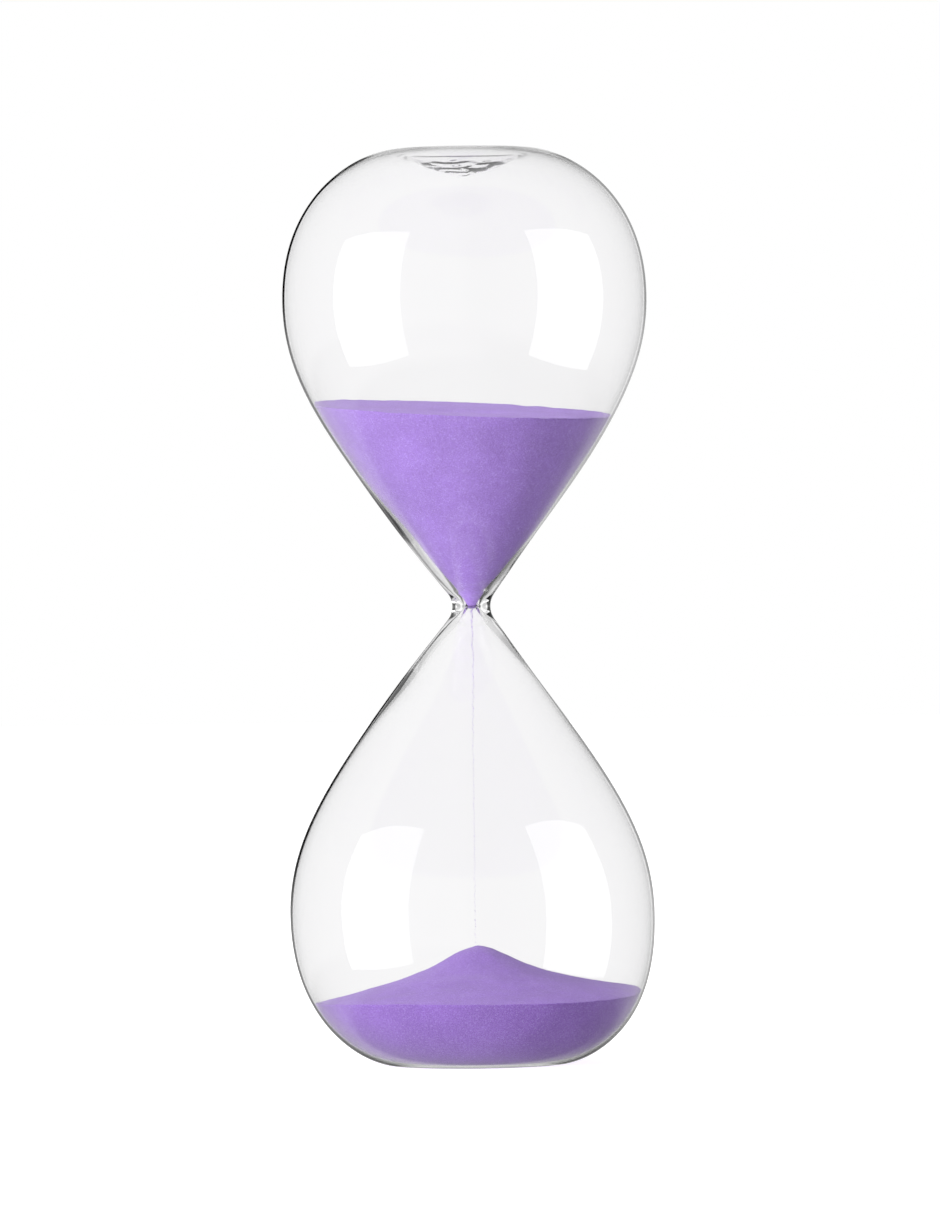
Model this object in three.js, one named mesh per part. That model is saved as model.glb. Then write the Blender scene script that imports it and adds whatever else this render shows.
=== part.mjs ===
// A frameless hourglass: two blown glass bulbs fused at a thick waist, the fill mouth in the
// crown melted shut with a button of glass, and one charge of dyed sand caught as it runs.
// Millimetres, +Z up. The origin is the centre of the ring that the glass stands on.

import * as THREE from 'three';

// ---------------------------------------------------------------- driving dimensions

const HEIGHT = 214; // from the foot ring to the crown ring
const WIDEST_RADIUS = 42.65; // outside of either bulb
const NECK_TO_WIDEST = 72; // along the axis

const WAIST_RADIUS = 4.45; // outside of the fused waist
const WAIST_FILLET = 5; // hollow curve round the waist
const CONE_ANGLE = THREE.MathUtils.degToRad(37); // half-angle of the cone that leaves the waist
const CONE_REACH = 43; // how stiffly the cone holds its line
const BELLY_REACH = 20; // how slowly the widest part turns into the cone

// Each bulb ends in a flat ring, with the glass inside the ring pushed inwards into a dish.
const FOOT = { shoulder: 30, ring: 21, lip: 1.6, flat: 3, dish: 5 };
const CROWN = { shoulder: 25.5, ring: 15.5, lip: 8.4, flat: 1.8, dish: 4.3 };

// Glass thickness: thin where it was blown widest, thicker down the cone, thickest at the waist.
const THIN_WALL = 0.45;
const CONE_WALL = { extra: 2, fade: 15 }; // fade is a distance from the waist
const WAIST_WALL = { extra: 1.05, fade: 1.5 };
const HEEL_WALL = { extra: 0.7, fade: 3 }; // where the side turns into the ring
const END_WALL = { thin: 0.8, extra: 0.5, fade: 8 }; // upright, fading outwards from the axis

const MOUTH_RADIUS = 10; // fill mouth in the crown's dish
const SEAL_RIPPLE = 0.2; // height of the rings left by the melting
const SEAL_PIP = { radius: 1.6, depth: 0.4 }; // drop where the melted mouth was drawn off

const GAP = 0.3; // clearance between neighbouring pieces

const UPPER_LEVEL = 46; // upper sand's surface above the waist, at the axis
const UPPER_SLOPE = { x: -0.052, y: 0.064 }; // it leans down to the right and to the front
const CRATER = { radius: 9, depth: 2 }; // hollow in it above the throat

// The lower sand is a flat cone, warped a little, with a steeper mound in the middle.
const LOWER_CONE = { apex: 23.2, slope: 0.2, tilt: 0.028, warp: 0.0012 };
const MOUND = { x: 1, height: 8.2, spread: 8, round: 4.8 };

const STREAM_RADIUS = { throat: 0.55, landing: 0.3 };

const FACETS = 40; // round the axis, on every piece but the stream
const STREAM_FACETS = 8;
const DISH_STEPS = 6; // across each dish
const COVER_RINGS = 7; // across each sand surface

// ---------------------------------------------------------------- materials

const glass = () =>
  new THREE.MeshStandardMaterial({ color: 0xf4f6f8, roughness: 0.02, transparent: true, opacity: 0.3 });
const sand = () => new THREE.MeshStandardMaterial({ color: 0xa07fd0, roughness: 0.95, metalness: 0 });

// ---------------------------------------------------------------- curves

const at = (r, d) => new THREE.Vector2(r, d);

function bezier(steps, ...points) {
  return new THREE.CubicBezierCurve(...points).getPoints(steps);
}

// The outside of one bulb, from the waist to the end of its ring: radius and distance from the waist.
function outerWall(end) {
  const half = HEIGHT / 2;
  const turn = WAIST_RADIUS + WAIST_FILLET;
  const fillet = [0, 0.33, 0.67, 1].map((t) => {
    const angle = t * CONE_ANGLE;
    return at(turn - WAIST_FILLET * Math.cos(angle), WAIST_FILLET * Math.sin(angle));
  });
  const start = fillet.pop();
  const along = at(Math.sin(CONE_ANGLE), Math.cos(CONE_ANGLE)).multiplyScalar(CONE_REACH);
  const cone = bezier(
    8,
    start,
    start.clone().add(along),
    at(WIDEST_RADIUS, NECK_TO_WIDEST - BELLY_REACH),
    at(WIDEST_RADIUS, NECK_TO_WIDEST),
  );
  const shoulder = bezier(
    8,
    at(WIDEST_RADIUS, NECK_TO_WIDEST),
    at(WIDEST_RADIUS, NECK_TO_WIDEST + end.shoulder),
    at(end.ring + end.lip, half),
    at(end.ring, half),
  );
  return [...fillet, ...cone, ...shoulder.slice(1)];
}

// How far the dish lies inside the ring's plane at a radius.
function dishDepth(end, radius) {
  return end.dish * (1 - (radius / (end.ring - end.flat)) ** 2);
}

// The dish from the ring's inner edge to the radius where it stops.
function dish(end, innerRadius) {
  const edge = end.ring - end.flat;
  return Array.from({ length: DISH_STEPS + 1 }, (_, i) => {
    const radius = edge + ((innerRadius - edge) * i) / DISH_STEPS;
    return at(radius, HEIGHT / 2 - dishDepth(end, radius));
  });
}

function endThickness(radius) {
  return END_WALL.thin + END_WALL.extra * Math.exp(-((radius / END_WALL.fade) ** 2));
}

function wallThickness(distance) {
  const cone = CONE_WALL.extra * Math.exp(-distance / CONE_WALL.fade);
  const waist = WAIST_WALL.extra * Math.exp(-distance / WAIST_WALL.fade);
  const heel = HEEL_WALL.extra * Math.exp((distance - HEIGHT / 2) / HEEL_WALL.fade);
  return THIN_WALL + cone + waist + heel;
}

// The same line moved inwards by the glass thickness there. The line runs from the waist outwards
// and over the ring, so the inside is always on its left.
function offsetInwards(line, thickness) {
  return line.map((point, i) => {
    const before = line[Math.max(i - 1, 0)];
    const after = line[Math.min(i + 1, line.length - 1)];
    const along = after.clone().sub(before).normalize();
    if (i === 0) along.set(0, 1);
    const inwards = at(-along.y, along.x);
    return point.clone().addScaledVector(inwards, thickness(point));
  });
}

function innerWall(end, innerRadius) {
  const side = offsetInwards(outerWall(end), (p) => wallThickness(p.y));
  const floor = dish(end, innerRadius).map((p) => at(p.x, p.y - endThickness(p.x)));
  return [...side, ...floor];
}

// ---------------------------------------------------------------- solids

// A body of revolution about Z from a profile of (radius, height) that runs anticlockwise.
function turned(profile, facets) {
  return new THREE.LatheGeometry(profile, facets).rotateX(Math.PI / 2);
}

// Heights in the finished hourglass of points given by their distance from the waist.
const above = (line) => line.map((p) => at(p.x, HEIGHT / 2 + p.y));
const below = (line) => line.map((p) => at(p.x, HEIGHT / 2 - p.y));

function upperBulb() {
  const outside = [...outerWall(CROWN), ...dish(CROWN, MOUTH_RADIUS)];
  const inside = innerWall(CROWN, MOUTH_RADIUS);
  outside[0].y = inside[0].y = GAP / 2;
  const loop = above([...outside, ...inside.reverse()]);
  return turned([...loop, loop[0].clone()], FACETS);
}

function lowerBulb() {
  const outside = [...outerWall(FOOT), ...dish(FOOT, 0)];
  const inside = innerWall(FOOT, 0);
  outside[0].y = inside[0].y = GAP / 2;
  return turned(below([...inside.reverse(), ...outside]).reverse(), FACETS);
}

// The button that closes the fill mouth: rippled outside, smooth inside with a small drawn drop.
function fillSeal() {
  const radius = MOUTH_RADIUS - GAP;
  const top = (r) => HEIGHT - dishDepth(CROWN, r);
  const bottom = (r) => top(r) - endThickness(r);
  const outwards = [0, 0.2, 0.4, 0.6, 0.8, 1].map((t) => radius * t);
  const ripples = [1, -1, 1, -1, 1, 0].map((sign) => sign * SEAL_RIPPLE);
  const rippled = outwards.map((r, i) => at(r, top(r) + ripples[i]));
  return turned(
    [
      at(0, bottom(0) - SEAL_PIP.depth),
      at(SEAL_PIP.radius * 0.6, bottom(0) - SEAL_PIP.depth * 0.75),
      at(SEAL_PIP.radius, bottom(SEAL_PIP.radius)),
      ...outwards.slice(2).map((r) => at(r, bottom(r))),
      ...rippled.reverse(),
    ],
    FACETS,
  );
}

// Sand lies against a wall, a line of (radius, height) from its lowest point at the axis outwards
// and up, and is covered by a surface of height(x, y).
function sandBody(wall, height) {
  const sides = Array.from({ length: FACETS }, (_, i) => {
    const angle = (2 * Math.PI * i) / FACETS; // the same facets as a turned body
    return { x: Math.sin(angle), y: -Math.cos(angle) };
  });
  const isCovered = (p, side) => p.y < height(p.x * side.x, p.x * side.y);
  const buried = wall.slice(1).filter((p) => sides.every((side) => isCovered(p, side)));
  const columns = sides.map((side) => {
    const rim = whereItEmerges(wall, (p) => isCovered(p, side));
    const column = [...buried, rim].map((p) => [p.x * side.x, p.x * side.y, p.y]);
    for (let k = 1; k < COVER_RINGS; k++) {
      const radius = rim.x * (1 - k / COVER_RINGS);
      const [x, y] = [radius * side.x, radius * side.y];
      column.push([x, y, height(x, y)]);
    }
    return column;
  });
  return closedByPoles([0, 0, wall[0].y], columns, [0, 0, height(0, 0)]);
}

// Where a line first comes out from under the sand's surface, to a thousandth of a millimetre.
function whereItEmerges(line, isCovered) {
  const first = line.findIndex((p) => !isCovered(p));
  const low = line[first - 1].clone();
  const high = line[first].clone();
  while (low.distanceTo(high) > 0.001) {
    const middle = low.clone().lerp(high, 0.5);
    (isCovered(middle) ? low : high).copy(middle);
  }
  return low;
}

// A closed surface from columns of points that all run from one pole to the other.
function closedByPoles(bottom, columns, top) {
  const rows = columns[0].length;
  const positions = [bottom, ...columns.flat(), top];
  const index = [];
  columns.forEach((_, i) => {
    const here = 1 + i * rows;
    const next = 1 + ((i + 1) % columns.length) * rows;
    index.push(0, next, here, positions.length - 1, here + rows - 1, next + rows - 1);
    for (let k = 0; k + 1 < rows; k++) {
      index.push(here + k, next + k, next + k + 1, here + k, next + k + 1, here + k + 1);
    }
  });
  const geometry = new THREE.BufferGeometry();
  geometry.setAttribute('position', new THREE.Float32BufferAttribute(positions.flat(), 3));
  geometry.setIndex(index);
  geometry.computeVertexNormals();
  return geometry;
}

function upperSandHeight(x, y) {
  const crater = CRATER.depth * Math.exp(-((x * x + y * y) / CRATER.radius ** 2));
  return HEIGHT / 2 + UPPER_LEVEL + UPPER_SLOPE.x * x + UPPER_SLOPE.y * y - crater;
}

function lowerSandHeight(x, y) {
  const fromPeak = Math.hypot(x - MOUND.x, y);
  const rounded = (fromPeak ** 4 + MOUND.round ** 4) ** 0.25;
  const mound = MOUND.height * Math.exp(-rounded / MOUND.spread);
  const warped = LOWER_CONE.tilt * x + LOWER_CONE.warp * x * y;
  return LOWER_CONE.apex - LOWER_CONE.slope * fromPeak + warped + mound;
}

const insideOf = (line) => offsetInwards(line, () => GAP);

function upperSand() {
  const wall = insideOf(innerWall(CROWN, MOUTH_RADIUS)).filter((p) => p.y < NECK_TO_WIDEST);
  wall[0].y = GAP;
  return sandBody(above([at(0, GAP), ...wall]), upperSandHeight);
}

function lowerSand() {
  const wall = insideOf(innerWall(FOOT, 0)).filter((p) => p.y > NECK_TO_WIDEST);
  wall[wall.length - 1].x = 0;
  return sandBody(below(wall.reverse()), lowerSandHeight);
}

function sandStream() {
  const top = HEIGHT / 2 - GAP;
  const landing = lowerSandHeight(0, 0) + GAP;
  return turned(
    [
      at(0, landing),
      at(STREAM_RADIUS.landing, landing),
      at(STREAM_RADIUS.landing, (top + landing) / 2),
      at(STREAM_RADIUS.throat, top),
      at(0, top),
    ],
    STREAM_FACETS,
  );
}

// ---------------------------------------------------------------- the assembly

function piece(name, geometry, material) {
  const mesh = new THREE.Mesh(geometry, material);
  mesh.name = name;
  return mesh;
}

const hourglass = new THREE.Group();
hourglass.add(
  piece('upper_bulb', upperBulb(), glass()),
  piece('lower_bulb', lowerBulb(), glass()),
  piece('fill_seal', fillSeal(), glass()),
  piece('upper_sand', upperSand(), sand()),
  piece('sand_stream', sandStream(), sand()),
  piece('lower_sand', lowerSand(), sand()),
);

export default hourglass;
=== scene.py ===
"""The looks of a frameless blown-glass hourglass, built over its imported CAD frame.

Metres, +Z up, the front is -Y. Distances called "from the waist" run along the axis from the
middle of the fused neck, the same way for both bulbs.
"""

import math
import random

import bpy
import numpy as np
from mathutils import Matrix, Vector, noise


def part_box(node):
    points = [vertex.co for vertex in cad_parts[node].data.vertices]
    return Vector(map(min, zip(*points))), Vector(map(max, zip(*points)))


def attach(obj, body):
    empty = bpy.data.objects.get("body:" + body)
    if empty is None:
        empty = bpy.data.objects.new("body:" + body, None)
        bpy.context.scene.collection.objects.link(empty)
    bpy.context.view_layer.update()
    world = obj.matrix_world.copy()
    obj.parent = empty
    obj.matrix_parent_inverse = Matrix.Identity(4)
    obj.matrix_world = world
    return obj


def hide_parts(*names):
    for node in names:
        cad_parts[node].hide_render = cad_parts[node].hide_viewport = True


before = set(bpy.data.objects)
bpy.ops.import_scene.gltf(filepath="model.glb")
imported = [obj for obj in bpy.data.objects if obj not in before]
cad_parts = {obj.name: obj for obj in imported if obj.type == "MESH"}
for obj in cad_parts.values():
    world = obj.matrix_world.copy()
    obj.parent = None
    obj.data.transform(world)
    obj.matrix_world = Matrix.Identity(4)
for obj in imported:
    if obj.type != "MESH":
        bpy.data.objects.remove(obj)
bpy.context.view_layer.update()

MM = 0.001

# ---------------------------------------------------------------- sizes

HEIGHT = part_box("upper_bulb")[1].z
HALF = HEIGHT / 2
WIDEST_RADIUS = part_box("lower_bulb")[1].x
NECK_TO_WIDEST = 72 * MM

WAIST_RADIUS = 4.45 * MM
WAIST_FILLET = 5 * MM
CONE_ANGLE = math.radians(37.0)
CONE_REACH = 43 * MM
BELLY_REACH = 20 * MM

FOOT = dict(shoulder=30 * MM, ring=21 * MM, lip=1.6 * MM, flat=3 * MM, dish=5 * MM)
CROWN = dict(shoulder=25.5 * MM, ring=15.5 * MM, lip=8.4 * MM, flat=1.8 * MM, dish=4.3 * MM)

THIN_WALL = 0.45 * MM
CONE_WALL = dict(extra=2.0 * MM, fade=15 * MM)
WAIST_WALL = dict(extra=1.05 * MM, fade=1.5 * MM)
HEEL_WALL = dict(extra=0.3 * MM, fade=10 * MM)
END_WALL = dict(thin=0.8 * MM, extra=0.5 * MM, fade=8 * MM)

# What hand blowing leaves: broad lumps in the wall, and the swirl of the melted fill mouth.
LUMPS = dict(height=0.06 * MM, size=26 * MM)
SWAY = (  # height, shift to +X and reach
    (HALF, 0.75 * MM, 11 * MM),
    (HALF + 32 * MM, 0.3 * MM, 14 * MM),
    (0, 1.1 * MM, 24 * MM),
)
BORE_SWAY = (  # of the inside alone
    (HALF + 15 * MM, 0.6 * MM, 8 * MM),
    (HALF - 15 * MM, 0.6 * MM, 8 * MM),
)
SWIRL = dict(height=0.09 * MM, pitch=3.9 * MM, radius=10.5 * MM, size=6 * MM, twist=4)
PIP = dict(depth=0.4 * MM, radius=1.8 * MM)  # the drop hanging inside the fill seal

SAND_GAP = 0.05 * MM  # between the sand and the glass that it lies against
GRAIN = 0.11 * MM  # mean grain radius

# ---------------------------------------------------------------- the glass's profile


def cubic(a, b, c, d, steps):
    """Points of a cubic curve from a to d, without the first."""
    t = np.linspace(0, 1, steps + 1)[1:, None]
    a, b, c, d = (np.array(p, float) for p in (a, b, c, d))
    return a * (1 - t) ** 3 + 3 * b * t * (1 - t) ** 2 + 3 * c * t**2 * (1 - t) + d * t**3


def outer_side(end):
    """The outside of one bulb from the waist to its ring, as (radius, distance from the waist)."""
    angles = np.linspace(0, CONE_ANGLE, 22)
    turn = WAIST_RADIUS + WAIST_FILLET
    fillet = np.column_stack(
        [turn - WAIST_FILLET * np.cos(angles), WAIST_FILLET * np.sin(angles)]
    )
    cone_start = fillet[-1]
    along = np.array([math.sin(CONE_ANGLE), math.cos(CONE_ANGLE)]) * CONE_REACH
    cone = cubic(
        cone_start,
        cone_start + along,
        (WIDEST_RADIUS, NECK_TO_WIDEST - BELLY_REACH),
        (WIDEST_RADIUS, NECK_TO_WIDEST),
        80,
    )
    shoulder = cubic(
        (WIDEST_RADIUS, NECK_TO_WIDEST),
        (WIDEST_RADIUS, NECK_TO_WIDEST + end["shoulder"]),
        (end["ring"] + end["lip"], HALF),
        (end["ring"], HALF),
        80,
    )
    return np.vstack([fillet, cone, shoulder])


def dish(end):
    """The pushed-in end, from the ring's inner edge to the axis."""
    edge = end["ring"] - end["flat"]
    radius = np.linspace(edge, 0, 90)
    return np.column_stack([radius, HALF - end["dish"] * (1 - (radius / edge) ** 2)])


def wall_thickness(distance):
    cone = CONE_WALL["extra"] * np.exp(-distance / CONE_WALL["fade"])
    waist = WAIST_WALL["extra"] * np.exp(-distance / WAIST_WALL["fade"])
    heel = HEEL_WALL["extra"] * np.exp((distance - HALF) / HEEL_WALL["fade"])
    return THIN_WALL + cone + waist + heel


def inner_side(end):
    side = outer_side(end)
    along = np.gradient(side, axis=0)
    along /= np.linalg.norm(along, axis=1)[:, None]
    along[0] = (0, 1)
    inwards = np.column_stack([-along[:, 1], along[:, 0]])
    return side + inwards * wall_thickness(side[:, 1])[:, None]


def inner_end(end):
    line = dish(end)[2:]
    middle = np.exp(-((line[:, 0] / END_WALL["fade"]) ** 2))
    line[:, 1] -= END_WALL["thin"] + END_WALL["extra"] * middle
    return line


def tip_to_tip(side, end_line):
    """One bulb's half profile in the hourglass: from the axis at its end to the waist."""
    return np.vstack([side, end_line])[::-1]


def whole(lower, upper):
    """The full profile from the foot's axis to the crown's, as (radius, height)."""
    low = np.column_stack([lower[:, 0], HALF - lower[:, 1]])
    high = np.column_stack([upper[:, 0], HALF + upper[:, 1]])[::-1]
    return np.vstack([low, high[1:]])


OUTER = whole(
    tip_to_tip(outer_side(FOOT), dish(FOOT)),
    tip_to_tip(outer_side(CROWN), dish(CROWN)),
)
INNER = whole(
    tip_to_tip(inner_side(FOOT), inner_end(FOOT)),
    tip_to_tip(inner_side(CROWN), inner_end(CROWN)),
)

# ---------------------------------------------------------------- meshes


def smoothstep(value, low, high):
    t = min(max((value - low) / (high - low), 0), 1)
    return t * t * (3 - 2 * t)


LUMPS_START = (12 * MM, 34 * MM)  # the radii between which the lumps fade in
OUTSIDE_SEED, INSIDE_SEED = 0, 7


def lump(radius, angle, z, seed):
    """How far blowing by hand moved the wall outwards there."""
    fade = smoothstep(radius, *LUMPS_START)
    if fade == 0:
        return 0
    place = Vector((radius * math.sin(angle), -radius * math.cos(angle), z)) / LUMPS["size"]
    return LUMPS["height"] * fade * noise.noise(place + Vector((seed, 0, 0)))


def swirl(radius, angle):
    """The rings that melting left on the outside of the fill seal."""
    rim = 1 - smoothstep(radius, 0.75 * SWIRL["radius"], SWIRL["radius"])
    window = smoothstep(radius, 0, 1.5 * MM) * rim
    place = Vector((radius * math.sin(angle), -radius * math.cos(angle), 0)) / SWIRL["size"]
    phase = 2 * math.pi * radius / SWIRL["pitch"] + angle + SWIRL["twist"] * noise.noise(place)
    return SWIRL["height"] * window * math.cos(phase) * (0.6 + noise.noise(place * 2))


def outer_point(radius, angle, z):
    if z > HALF and radius < SWIRL["radius"]:
        z += swirl(radius, angle)
    else:
        radius += lump(radius, angle, z, OUTSIDE_SEED)
    return radius, z


def inner_point(radius, angle, z):
    if z > HALF and radius < 3 * PIP["radius"]:
        z -= PIP["depth"] * math.exp(-((radius / PIP["radius"]) ** 2))
    else:
        radius += lump(radius, angle, z, INSIDE_SEED)
    return radius, z


def skin(columns, bottom, top):
    """Vertices and outward faces of a closed surface from columns of points, pole to pole."""
    count, rows = len(columns), len(columns[0])
    vertices = [bottom] + [p for column in columns for p in column] + [top]
    faces = []
    for i in range(count):
        here, there = 1 + i * rows, 1 + (i + 1) % count * rows
        faces.append((0, there, here))
        faces.extend((here + k, there + k, there + k + 1, here + k + 1) for k in range(rows - 1))
        faces.append((here + rows - 1, there + rows - 1, len(vertices) - 1))
    return vertices, faces


def sway(z, bends=SWAY):
    """How far the glass wanders off its axis at that height."""
    return sum(shift * math.exp(-(((z - height) / reach) ** 2)) for height, shift, reach in bends)


def outer_place(radius, angle, z):
    return radius * math.sin(angle) + sway(z), -radius * math.cos(angle), z


def inner_place(radius, angle, z):
    x, y, z = outer_place(radius, angle, z)
    return x + sway(z, BORE_SWAY), y, z


def turned(profile, move, place, segments):
    """Like skin, for a profile of (radius, height) between two points on the axis."""
    columns = []
    for i in range(segments):
        angle = 2 * math.pi * i / segments
        column = []
        for radius, z in profile[1:-1]:
            new_radius, new_z = move(radius, angle, z)
            column.append(place(new_radius, angle, new_z))
        columns.append(column)
    ends = [place(0, 0, move(0, 0, z)[1]) for z in (profile[0][1], profile[-1][1])]
    return skin(columns, *ends)


def make_object(name, vertices, faces, material, smooth=True):
    mesh = bpy.data.meshes.new(name)
    mesh.from_pydata(vertices, [], faces)
    mesh.polygons.foreach_set("use_smooth", [smooth] * len(mesh.polygons))
    mesh.materials.append(material)
    mesh.update()
    made = bpy.data.objects.new(name, mesh)
    bpy.context.scene.collection.objects.link(made)
    return made


def joined(*parts):
    """One list of vertices and one of faces from several."""
    vertices, faces = [], []
    for part_vertices, part_faces in parts:
        base = len(vertices)
        vertices += part_vertices
        faces += [tuple(base + i for i in face) for face in part_faces]
    return vertices, faces


# ---------------------------------------------------------------- nodes


class Nodes:
    """Short calls for building a node tree."""

    def __init__(self, owner):
        owner.use_nodes = True
        self.tree = owner.node_tree
        self.tree.nodes.clear()

    def add(self, kind, inputs=None, **settings):
        node = self.tree.nodes.new(kind)
        for key, value in settings.items():
            setattr(node, key, value)
        for key, value in (inputs or {}).items():
            self.put(node.inputs[key], value)
        return node

    def put(self, socket, value):
        if isinstance(value, bpy.types.NodeSocket):
            self.tree.links.new(value, socket)
        else:
            socket.default_value = value

    def math(self, operation, *values):
        node = self.add("ShaderNodeMath", dict(enumerate(values)), operation=operation)
        return node.outputs[0]

    def smooth(self, value, low, high, start=0.0, stop=1.0):
        """start below low, stop above high, and an even step in between."""
        span = {"From Min": low, "From Max": high, "To Min": start, "To Max": stop}
        inputs = {"Value": value, **span}
        node = self.add("ShaderNodeMapRange", inputs, interpolation_type="SMOOTHSTEP")
        return node.outputs["Result"]

    def output(self, shader, kind="Material"):
        self.add(f"ShaderNodeOutput{kind}", {"Surface": shader.outputs[0]})

    def choose(self, switch, off, on):
        """on where switch is 1 and off where it is 0."""
        inputs = {"Factor": switch, "A": off, "B": on}
        return self.add("ShaderNodeMix", inputs, data_type="FLOAT").outputs["Result"]


# ---------------------------------------------------------------- materials


def glass_material():
    made = bpy.data.materials.new("blown_glass")
    nodes = Nodes(made)
    shader = nodes.add(
        "ShaderNodeBsdfPrincipled",
        {
            "Base Color": (0.983, 0.981, 0.985, 1),
            "Roughness": 0.0,
            "IOR": 1.5,
            "Transmission Weight": 1.0,
        },
    )
    nodes.output(shader)
    return made


DRIFT_SIZE = 9 * MM  # of the slow changes in the sand's brightness
SHADE_TO_LIGHT_HEIGHTS = (40 * MM, 110 * MM)  # the heights over which the sand goes from painted shade on the lower heap to painted light on the upper charge


def sand_material():
    made = bpy.data.materials.new("dyed_quartz_sand")
    nodes = Nodes(made)
    place = nodes.add("ShaderNodeTexCoord").outputs["Object"]
    grains = nodes.add("ShaderNodeTexVoronoi", {"Vector": place, "Scale": 0.5 / GRAIN})
    shade = nodes.add("ShaderNodeSeparateColor", {"Color": grains.outputs["Color"]}).outputs[0]
    ramp = nodes.add("ShaderNodeValToRGB", {"Fac": shade})
    stops = [  # from the darkest grains to the lightest
        (0.0, (0.34, 0.17, 0.68, 1)),
        (0.45, (0.39, 0.205, 0.76, 1)),
        (0.85, (0.44, 0.245, 0.82, 1)),
        (1.0, (0.53, 0.35, 0.89, 1)),
    ]
    ramp.color_ramp.elements[0].position, ramp.color_ramp.elements[0].color = stops[0]
    ramp.color_ramp.elements[1].position, ramp.color_ramp.elements[1].color = stops[-1]
    for position, color in stops[1:-1]:
        ramp.color_ramp.elements.new(position).color = color
    drift = nodes.add(
        "ShaderNodeTexNoise", {"Vector": place, "Scale": 1 / DRIFT_SIZE, "Detail": 3.0}
    )
    value = nodes.smooth(drift.outputs["Fac"], 0.3, 0.7, 0.95, 1.05)
    # Painted light and shade by height: the lower heap is painted darker and more saturated, the
    # upper charge lighter and paler, as the light falls on each.
    height = nodes.add("ShaderNodeSeparateXYZ", {"Vector": place}).outputs["Z"]
    value = nodes.math("MULTIPLY", value, nodes.smooth(height, *SHADE_TO_LIGHT_HEIGHTS, 0.9, 1.06))
    saturation = nodes.smooth(height, *SHADE_TO_LIGHT_HEIGHTS, 1.0, 0.93)
    tint = nodes.add(
        "ShaderNodeHueSaturation",
        {"Color": ramp.outputs["Color"], "Saturation": saturation, "Value": value, "Fac": 1.0},
    )
    bump = nodes.add(
        "ShaderNodeBump",
        {"Height": grains.outputs["Distance"], "Strength": 0.5, "Distance": GRAIN},
        invert=True,
    )
    shader = nodes.add(
        "ShaderNodeBsdfPrincipled",
        {
            "Base Color": tint.outputs["Color"],
            "Roughness": 0.85,
            "Specular IOR Level": 0.3,
            "Sheen Weight": 0.25,
            "Sheen Roughness": 0.5,
            "Sheen Tint": (0.92, 0.86, 1.0, 1),
            "Normal": bump.outputs["Normal"],
        },
    )
    nodes.output(shader)
    return made


GLASS = glass_material()
SAND = sand_material()

# ---------------------------------------------------------------- the glass envelope

SEGMENTS = 224
outside = turned(OUTER, outer_point, outer_place, SEGMENTS)
inside_vertices, inside_faces = turned(INNER, inner_point, inner_place, SEGMENTS)
cavity = (inside_vertices, [face[::-1] for face in inside_faces])
envelope = make_object("glass_envelope", *joined(outside, cavity), GLASS)
envelope.visible_shadow = False
envelope.visible_diffuse = False
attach(envelope, "root")
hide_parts("upper_bulb", "lower_bulb", "fill_seal")

# ---------------------------------------------------------------- the sand

UPPER_LEVEL = 46 * MM  # above the waist, at the axis
UPPER_SLOPE = (-0.052, 0.064)
CRATER = dict(radius=9 * MM, depth=2 * MM)
LOWER_CONE = dict(apex=23.2 * MM, slope=0.2, tilt=0.028, warp=0.0012 / MM)
MOUND = dict(x=1 * MM, height=8.2 * MM, spread=8 * MM, round=4.8 * MM)
RIPPLES = ((0.16 * MM, 4 * MM), (0.05 * MM, 0.7 * MM))  # height and size of unevenness


def unevenness(x, y):
    return sum(height * noise.noise(Vector((x, y, 0)) / size) for height, size in RIPPLES)


def upper_sand_height(x, y):
    crater = CRATER["depth"] * math.exp(-(x * x + y * y) / CRATER["radius"] ** 2)
    level = HALF + UPPER_LEVEL + UPPER_SLOPE[0] * x + UPPER_SLOPE[1] * y
    return level - crater + unevenness(x, y)


def lower_sand_height(x, y):
    from_peak = math.hypot(x - MOUND["x"], y)
    rounded = (from_peak**4 + MOUND["round"] ** 4) ** 0.25
    mound = MOUND["height"] * math.exp(-rounded / MOUND["spread"])
    warped = LOWER_CONE["tilt"] * x + LOWER_CONE["warp"] * x * y
    cone = LOWER_CONE["apex"] - LOWER_CONE["slope"] * from_peak + warped
    return cone + mound + unevenness(x, y)


def moved_in(line, gap):
    """A line of (radius, height) moved to its left."""
    along = np.gradient(line, axis=0)
    along /= np.linalg.norm(along, axis=1)[:, None]
    return line + np.column_stack([-along[:, 1], along[:, 0]]) * gap


RIM_PRECISION = 1e-3 * MM


def sand_body(wall, height, columns_count=256, wall_rows=110, cover_rows=120):
    """Sand that lies against a wall, a line from the axis outwards, under height(x, y)."""
    lengths = np.concatenate([[0], np.cumsum(np.linalg.norm(np.diff(wall, axis=0), axis=1))])

    def on_wall(angle, length):
        radius = float(np.interp(length, lengths, wall[:, 0]))
        z = float(np.interp(length, lengths, wall[:, 1]))
        return inner_point(radius, angle, z)

    def rim_length(angle):
        """How far along the wall the sand's surface meets it."""
        low, high = 0.0, lengths[-1]
        while high - low > RIM_PRECISION:
            middle = (low + high) / 2
            radius, z = on_wall(angle, middle)
            if z < height(radius * math.sin(angle), -radius * math.cos(angle)):
                low = middle
            else:
                high = middle
        return low

    columns = []
    for i in range(columns_count):
        angle = 2 * math.pi * i / columns_count
        rim = rim_length(angle)
        steps = (rim * k / wall_rows for k in range(1, wall_rows + 1))
        against_wall = (on_wall(angle, length) for length in steps)
        column = [inner_place(r, angle, z) for r, z in against_wall]
        rim_radius = on_wall(angle, rim)[0]
        for k in range(1, cover_rows):
            radius = rim_radius * (1 - k / cover_rows)
            z = height(radius * math.sin(angle), -radius * math.cos(angle))
            column.append(inner_place(radius, angle, z))
        columns.append(column)
    return skin(columns, inner_place(0, 0, wall[0][1]), inner_place(0, 0, height(0, 0)))


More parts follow.
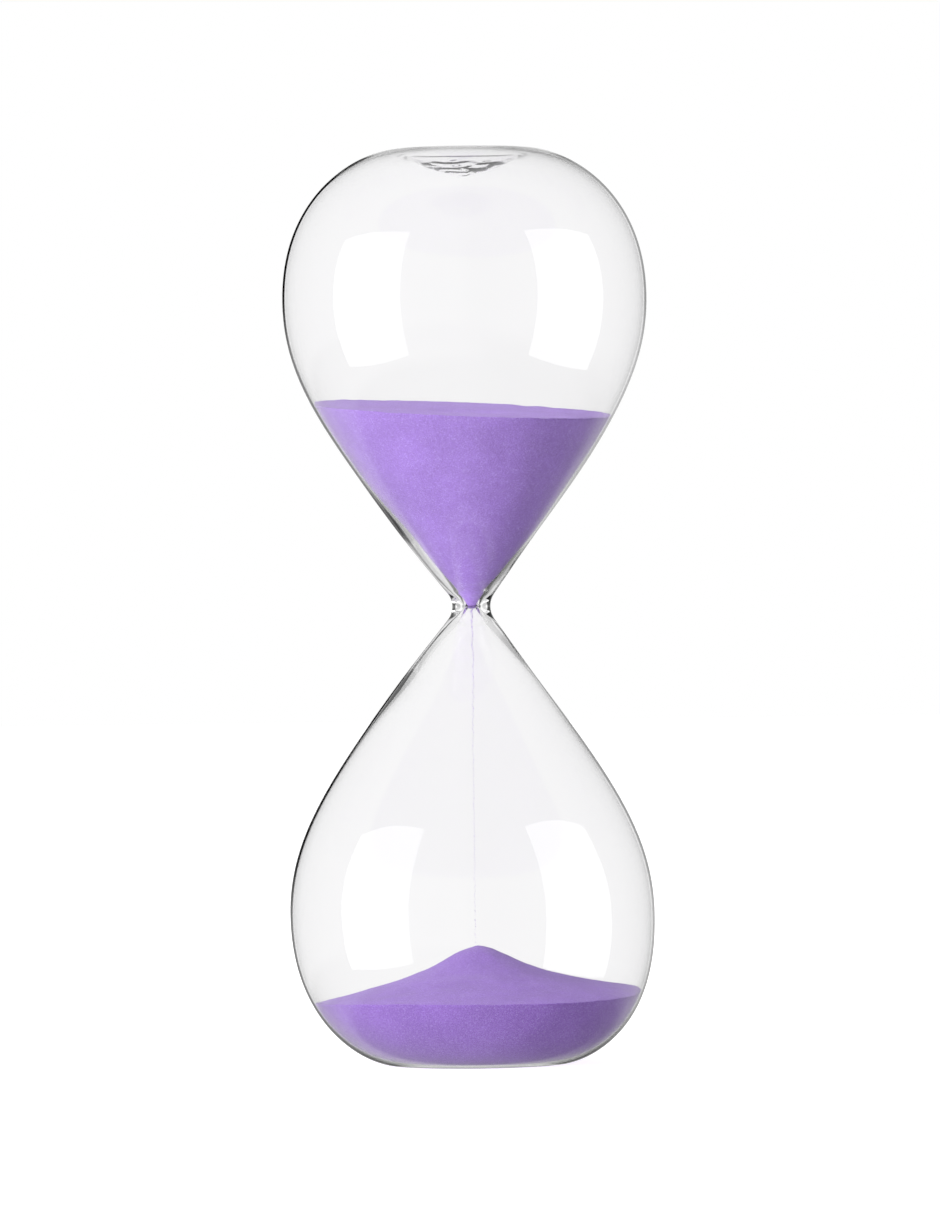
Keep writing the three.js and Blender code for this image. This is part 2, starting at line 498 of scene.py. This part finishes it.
def add_sand(name, node, vertices, faces, smooth=True):
    made = make_object(name, vertices, faces, SAND, smooth)
    made.visible_glossy = False
    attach(made, "root")
    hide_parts(node)


THROAT_BOTTOM = HALF - 0.2 * MM  # where the upper sand ends
END_POINTS = 60  # of the inside's profile, near the crown, that no sand reaches
FAR = 1e3
waist = int(np.argmin(INNER[:, 0] + FAR * (np.abs(INNER[:, 1] - HALF) > 1 * MM)))
upper_wall = moved_in(INNER[waist:-END_POINTS], SAND_GAP)
upper_wall = upper_wall[upper_wall[:, 1] > THROAT_BOTTOM]
upper_wall = np.vstack([[[0, THROAT_BOTTOM]], upper_wall])
lower_wall = moved_in(INNER[:waist], SAND_GAP)
lower_wall[0][0] = 0
add_sand("upper_sand_charge", "upper_sand", *sand_body(upper_wall, upper_sand_height))
add_sand("lower_sand_heap", "lower_sand", *sand_body(lower_wall, lower_sand_height))

# ---------------------------------------------------------------- the falling grains

STREAM = dict(
    top=HALF - 0.4 * MM, spread_top=0.3 * MM, spread_end=0.12 * MM, grains=210, seed=11
)

ICO = (1 + math.sqrt(5)) / 2
ICO_POINTS = [
    (-1, ICO, 0), (1, ICO, 0), (-1, -ICO, 0), (1, -ICO, 0), (0, -1, ICO), (0, 1, ICO),
    (0, -1, -ICO), (0, 1, -ICO), (ICO, 0, -1), (ICO, 0, 1), (-ICO, 0, -1), (-ICO, 0, 1),
]  # fmt: skip
ICO_FACES = [
    (0, 11, 5), (0, 5, 1), (0, 1, 7), (0, 7, 10), (0, 10, 11), (1, 5, 9), (5, 11, 4),
    (11, 10, 2), (10, 7, 6), (7, 1, 8), (3, 9, 4), (3, 4, 2), (3, 2, 6), (3, 6, 8),
    (3, 8, 9), (4, 9, 5), (2, 4, 11), (6, 2, 10), (8, 6, 7), (9, 8, 1),
]  # fmt: skip


def grain(centre, radius, draw):
    """A closed, slightly irregular grain."""
    scale = radius / math.sqrt(1 + ICO * ICO)
    vertices = [
        tuple(c + scale * v * draw.uniform(0.8, 1.15) for c, v in zip(centre, point))
        for point in ICO_POINTS
    ]
    return vertices, ICO_FACES


def falling_grains():
    draw = random.Random(STREAM["seed"])
    bottom = lower_sand_height(0, 0)
    fall = STREAM["top"] - bottom
    made = []
    for i in range(STREAM["grains"]):
        # Grains that leave evenly and fall freely thin out as the square root of the drop.
        t = (i + draw.random()) / STREAM["grains"]
        drop = fall * (0.12 * t + 0.88 * t * t)
        share = drop / fall
        spread = STREAM["spread_top"] * (1 - share) + STREAM["spread_end"] * share
        radius, angle = spread * math.sqrt(draw.random()), draw.uniform(0, 2 * math.pi)
        x, y, z = outer_place(radius, angle, STREAM["top"] - drop)
        x += sway(HALF) - sway(z)  # it falls straight from the throat
        made.append(grain((x, y, z), GRAIN * draw.uniform(0.6, 1.1), draw))
    return joined(*made)


add_sand("falling_grains", "sand_stream", *falling_grains(), smooth=False)

# ---------------------------------------------------------------- the stage


def plane(name, corners, material):
    made = make_object(name, corners, [(0, 1, 2, 3)], material, smooth=False)
    return made


def floor_material():
    made = bpy.data.materials.new("pale_floor")
    nodes = Nodes(made)
    place = nodes.add("ShaderNodeTexCoord").outputs["Object"]
    away = nodes.add("ShaderNodeVectorMath", {0: place}, operation="LENGTH").outputs["Value"]
    # Painted light: the floor glows by its own emission to stay white; the glow is dimmer near the
    # object, a painted shade round its foot.
    glow = nodes.smooth(away, 0.15, 0.6, 0.82, 1.02)
    shader = nodes.add(
        "ShaderNodeBsdfPrincipled",
        {
            "Base Color": (0.8, 0.8, 0.8, 1),
            "Roughness": 0.9,
            "Specular IOR Level": 0.0,
            "Emission Color": (1, 1, 1, 1),
            "Emission Strength": glow,
        },
    )
    nodes.output(shader)
    return made


SOFTBOX_GLOW = 3.0


def softbox_material():
    """It glows only in light that was mirrored while inside one wall of the glass."""
    made = bpy.data.materials.new("softbox_face")
    nodes = Nodes(made)
    path = nodes.add("ShaderNodeLightPath").outputs
    mirrored = nodes.math("GREATER_THAN", path["Glossy Depth"], 0.5)
    # One wall is crossed once or twice: in, and out again.
    one_wall = nodes.math("COMPARE", path["Transmission Depth"], 1.5, 1.0)
    shader = nodes.add("ShaderNodeMixShader", {"Fac": nodes.math("MULTIPLY", mirrored, one_wall)})
    clear = nodes.add("ShaderNodeBsdfTransparent")
    glow = nodes.add("ShaderNodeEmission", {"Color": (1, 1, 1, 1), "Strength": SOFTBOX_GLOW})
    nodes.put(shader.inputs[1], clear.outputs[0])
    nodes.put(shader.inputs[2], glow.outputs[0])
    nodes.output(shader)
    return made


FLOOR_HALF = 6.0
floor = plane(
    "floor",
    [(x * FLOOR_HALF, y * FLOOR_HALF, 0) for x, y in ((-1, -1), (1, -1), (1, 1), (-1, 1))],
    floor_material(),
)
floor.visible_glossy = False
floor.visible_transmission = False
floor.visible_diffuse = False

# Two softboxes in front of the object, seen only as the bright windows mirrored in the glass.
SOFTBOX = dict(near=0.83, far=1.3, high=0.84, near_low=-0.31, far_low=-0.47)  # from the axis
SOFTBOXES = (("left_softbox", -40, -91), ("right_softbox", 46, 98))  # their bearings from -Y
SOFTBOX_FACE = softbox_material()
for name, near, far in SOFTBOXES:
    ends = []
    for bearing, distance in ((near, SOFTBOX["near"]), (far, SOFTBOX["far"])):
        angle = math.radians(bearing)
        ends.append((distance * math.sin(angle), -distance * math.cos(angle)))
    heights = ((0, "near_low"), (1, "far_low"), (1, "high"), (0, "high"))
    corners = [(*ends[i], SOFTBOX[height]) for i, height in heights]
    card = plane(name, corners, SOFTBOX_FACE)
    card.visible_camera = False
    card.visible_diffuse = False
    card.visible_shadow = False


def area_light(name, place, power, size):
    data = bpy.data.lights.new(name, "AREA")
    data.energy, data.shape, data.size = power, "DISK", size
    made = bpy.data.objects.new(name, data)
    made.location = place
    aim = Vector((0, 0, HALF)) - Vector(place)
    made.rotation_euler = aim.to_track_quat("-Z", "Y").to_euler()
    made.visible_glossy = False
    made.visible_transmission = False
    made.visible_camera = False
    bpy.context.scene.collection.objects.link(made)


area_light("key", (-1.2, -1.15, 0.3), 25, 0.9)
area_light("overhead", (-0.1, -0.2, 1.7), 8, 0.9)


# Dark rings round three fixed directions, in degrees from +Y towards +X, and how dark they are.
# Each ring lies between two angles from its direction, and is fainter on the right.
DARK_RINGS = ((0, 1.0), (-45, 0.6), (45, 0.5))
RING = (8, 20)
RIGHT_SIDE = 0.62


def make_world():
    """White to the eye, and through both walls of the glass. What one wall bends sideways or
    reflects meets the studio's dark parts, which draw the outline."""
    world = bpy.data.worlds.new("studio")
    bpy.context.scene.world = world
    nodes = Nodes(world)
    direction = nodes.add("ShaderNodeTexCoord").outputs["Generated"]
    split = nodes.add("ShaderNodeSeparateXYZ", {"Vector": direction})
    x, y, z = (split.outputs[i] for i in range(3))

    def times(a, b):
        return nodes.math("MULTIPLY", a, b)

    def without(value, dark):
        return times(value, nodes.math("SUBTRACT", 1.0, dark))

    def across(part):
        """How long the rest of the direction is beside one part of it."""
        return nodes.math("SQRT", nodes.math("SUBTRACT", 1.0, times(part, part)))

    # Where the rings run up and down, and so darken the sides of the glass but not its two ends.
    slant = nodes.math("DIVIDE", z, across(y))
    upright = nodes.smooth(slant, 0.92, 0.96, 1.0, 0.0)
    upright = nodes.math("ADD", upright, nodes.smooth(slant, 0.985, 0.998, 0.0, 0.2))
    upright = times(upright, nodes.smooth(slant, -0.97, -0.9, 0.2, 1.0))
    upright = times(upright, nodes.smooth(z, -0.06, 0.05, 0.72, 1.0))

    def ring(degrees, strength):
        sine, cosine = math.sin(math.radians(degrees)), math.cos(math.radians(degrees))
        ahead = nodes.math("ADD", times(x, sine), times(y, cosine))
        right = nodes.math("SUBTRACT", times(x, cosine), times(y, sine))
        inner, outer = (math.cos(math.radians(a)) for a in RING)
        outside = nodes.smooth(ahead, outer - 0.012, outer + 0.008)
        inside = nodes.smooth(ahead, inner - 0.003, inner + 0.004, 1.0, 0.0)
        side = nodes.smooth(right, -0.05, 0.05, strength, strength * RIGHT_SIDE)
        return times(times(outside, inside), times(side, upright))

    # The studio as mirrored light meets it: on the way in, and from inside a wall.
    main = ring(*DARK_RINGS[0])
    glow = nodes.smooth(nodes.math("ABSOLUTE", y), 0.75, 0.95, 1.12, 1.0)
    under = times(nodes.smooth(x, 0.0, 0.4), nodes.smooth(z, -0.5, -0.3, 0.7, 0.0))
    around = without(glow, under)
    aside = nodes.smooth(y, 0.9, 0.94, 1.0, 0.0)
    dim = times(aside, nodes.smooth(x, -0.15, 0.15, 0.5, 0.72))
    sharp = without(around, main)
    low = nodes.smooth(z, -0.3, -0.12, 0.8, 0.0)
    mirrored = without(sharp, nodes.math("MAXIMUM", dim, low))
    lowest = nodes.smooth(z, -0.62, -0.5, 0.8, 0.0)
    inner_mirrored = without(sharp, nodes.math("MAXIMUM", times(dim, 0.45), lowest))

    # As light that one wall bends meets it.
    dark = main
    for look in DARK_RINGS[1:]:
        dark = nodes.math("MAXIMUM", dark, ring(*look))
    flank = nodes.smooth(nodes.math("DIVIDE", y, across(z)), 0.64, 0.74, 0.9, 0.0)
    bent = without(without(around, dark), flank)

    # As the matt sand meets it.
    soft = nodes.smooth(z, -1.0, 1.0, 0.56, 0.40)
    path = nodes.add("ShaderNodeLightPath").outputs
    crossings = path["Transmission Depth"]  # of the glass's surfaces, four for both walls
    value = nodes.choose(nodes.math("GREATER_THAN", crossings, 0.5), mirrored, inner_mirrored)
    value = nodes.choose(nodes.math("LESS_THAN", path["Glossy Depth"], 0.5), value, bent)
    value = nodes.choose(nodes.math("GREATER_THAN", crossings, 3.5), value, 1.0)
    value = nodes.choose(path["Is Diffuse Ray"], value, soft)
    value = nodes.choose(path["Is Camera Ray"], value, 1.0)
    background = nodes.add("ShaderNodeBackground", {"Color": (1, 1, 1, 1), "Strength": value})
    nodes.output(background, "World")


make_world()

# ---------------------------------------------------------------- the camera

FRAME_HEIGHT = 284.2 * MM  # that the picture takes in at the object
DISTANCE = 2.0
ROLL = math.radians(0.72)  # by which the object leans in the picture

camera_data = bpy.data.cameras.new("camera")
camera_data.lens = camera_data.sensor_width * DISTANCE / FRAME_HEIGHT
camera = bpy.data.objects.new("camera", camera_data)
camera.location = (0.42 * MM, -DISTANCE, HALF - 0.25 * MM)
camera.rotation_euler = (math.pi / 2, ROLL, 0)
bpy.context.scene.collection.objects.link(camera)
bpy.context.scene.camera = camera
bpy.context.scene.view_settings.view_transform = "Standard"
